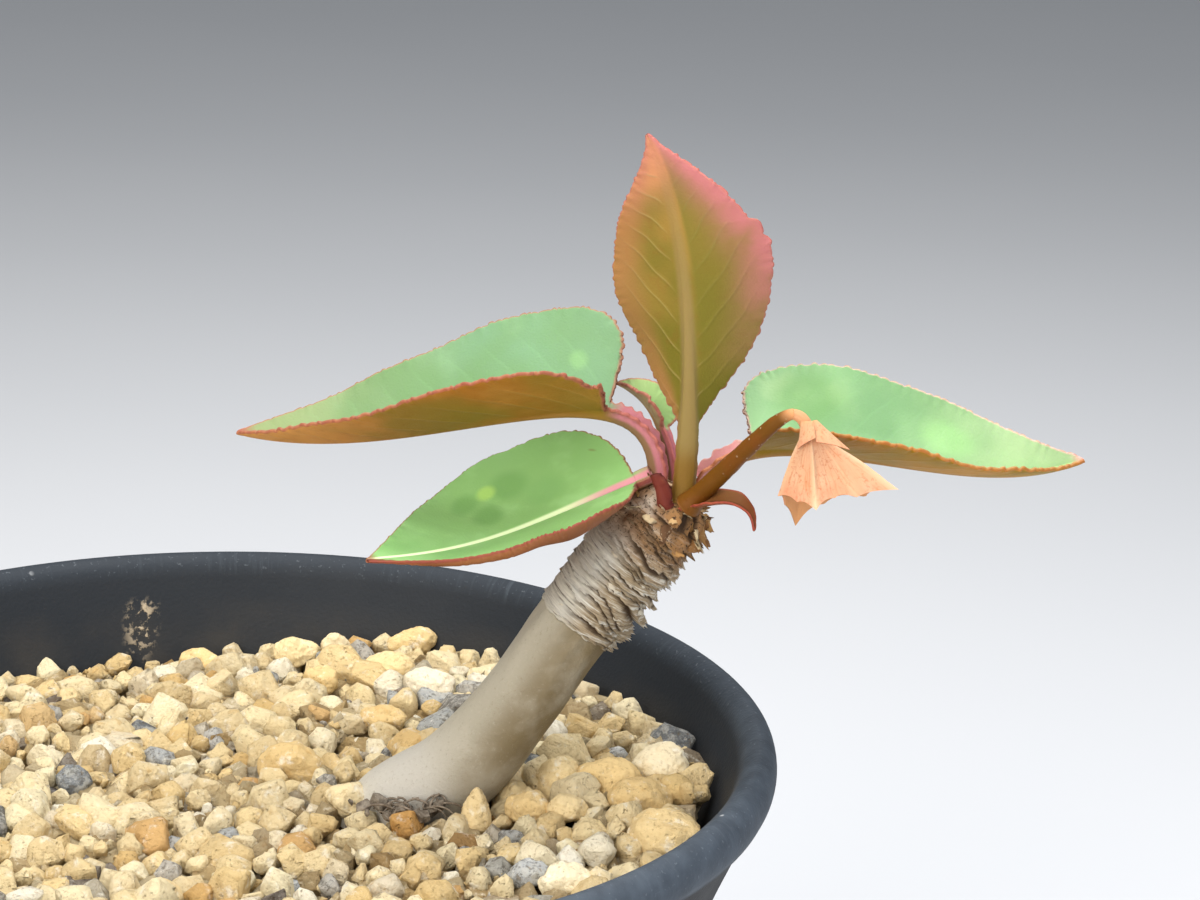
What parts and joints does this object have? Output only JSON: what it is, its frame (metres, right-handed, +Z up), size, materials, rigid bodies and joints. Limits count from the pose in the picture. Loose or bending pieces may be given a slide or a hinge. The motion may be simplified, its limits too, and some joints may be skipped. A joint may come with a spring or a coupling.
{
  "type": "potted euphorbia",
  "caption": "Young potted euphorbia: leaning grey stem with a ringed bark collar, toothed folded leaves, a nodding dried bloom, pale gravel and a round dark plastic pot.",
  "frame": {"origin": "middle of the pot's underside, on the surface it stands on", "axes": "+Z up, +X to the right of the plant's best side, +Y away from the viewer of that side"},
  "size_m": [0.1521, 0.12, 0.156],
  "materials": {
    "pot_plastic": "moulded charcoal plastic, satin, lightly scuffed at the rim",
    "gravel": "dry angular pumice grains, cream to tan with a few ochre and grey ones",
    "stem_bark": "smooth grey bark below, flaky ringed bark above",
    "stalk": "waxy brown plant skin with tiny pale specks",
    "young_leaf": "young leaf, olive and orange-brown with a pink edge, satin",
    "green_leaf": "mint green leaf with an orange-brown underside and a pink toothed edge, satin",
    "red_leaf": "red-brown young leaf, satin",
    "bracts": "dry papery bracts, peach with faint veins"
  },
  "bodies": {
    "root": {"pot": "pot_plastic", "gravel": "gravel", "stem": "stem_bark", "flower_stalk": "stalk", "leaf_upright": "young_leaf", "leaf_right": "green_leaf", "leaf_upper_left": "green_leaf", "leaf_lower_left": "green_leaf", "leaf_small_back": "green_leaf", "leaf_curled": "red_leaf", "bud_scale": "red_leaf", "flower_bracts": "bracts"}
  },
  "joints": []
}
